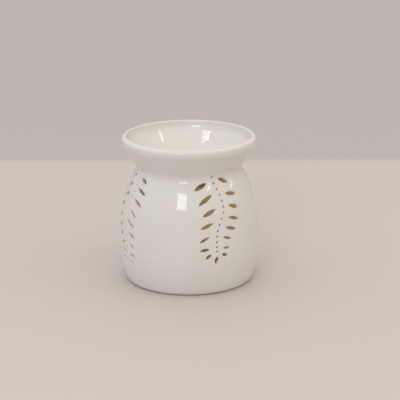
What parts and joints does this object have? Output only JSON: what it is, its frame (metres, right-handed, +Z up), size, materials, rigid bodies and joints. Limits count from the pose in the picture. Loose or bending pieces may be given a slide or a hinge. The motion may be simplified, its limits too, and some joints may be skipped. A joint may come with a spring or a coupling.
{
  "type": "essential oil burner",
  "caption": "White glazed ceramic oil burner: a pierced barrel body with a rear doorway for a tea light, closed on top by a flared oil dish.",
  "frame": {"origin": "centre of the foot, on the surface that the burner stands on", "axes": "+Z up along the axis of the barrel; the front sprig faces -Y, the doorway faces +Y and the other two sprigs face -X and +X"},
  "size_m": [0.1012, 0.0999, 0.105],
  "materials": {
    "body_glaze": "gloss",
    "dish_glaze": "gloss",
    "tealight_foil": "satin",
    "candle_wax": "satin",
    "wick_cotton": "matte",
    "tab_steel": "satin"
  },
  "bodies": {
    "burner": {"burner_body": "body_glaze", "oil_dish": "dish_glaze"},
    "tealight": {"tealight_cup": "tealight_foil", "tealight_wax": "candle_wax", "wick": "wick_cotton", "wick_tab": "tab_steel"}
  },
  "joints": [
    {"name": "tealight_slide", "type": "slide", "parent": "burner", "child": "tealight", "axis": [0, 1, 0], "range_m": [0, 0.09]}
  ]
}
